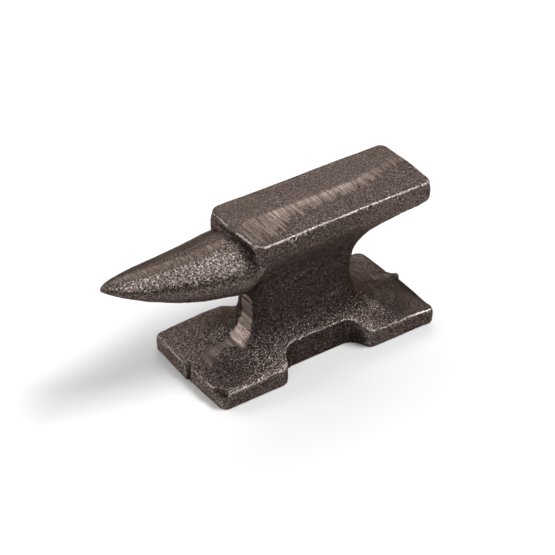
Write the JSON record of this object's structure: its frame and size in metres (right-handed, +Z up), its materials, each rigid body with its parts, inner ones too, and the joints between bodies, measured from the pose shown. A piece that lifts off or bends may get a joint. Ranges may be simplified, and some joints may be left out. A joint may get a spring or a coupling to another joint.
{
  "type": "anvil",
  "caption": "Miniature cast-iron bench anvil with a long round horn, a flat-sided table, a concave waist and a notched base.",
  "frame": {"origin": "middle of the flat sole", "axes": "+X along the anvil from the horn towards the heel, +Y across it, +Z up through the table"},
  "size_m": [0.101, 0.035, 0.0464],
  "materials": {
    "cast_iron": "bare sand-cast grey iron with a fine pitted grain, linished bright along the parting line"
  },
  "bodies": {
    "root": {"anvil": "cast_iron"}
  },
  "joints": []
}
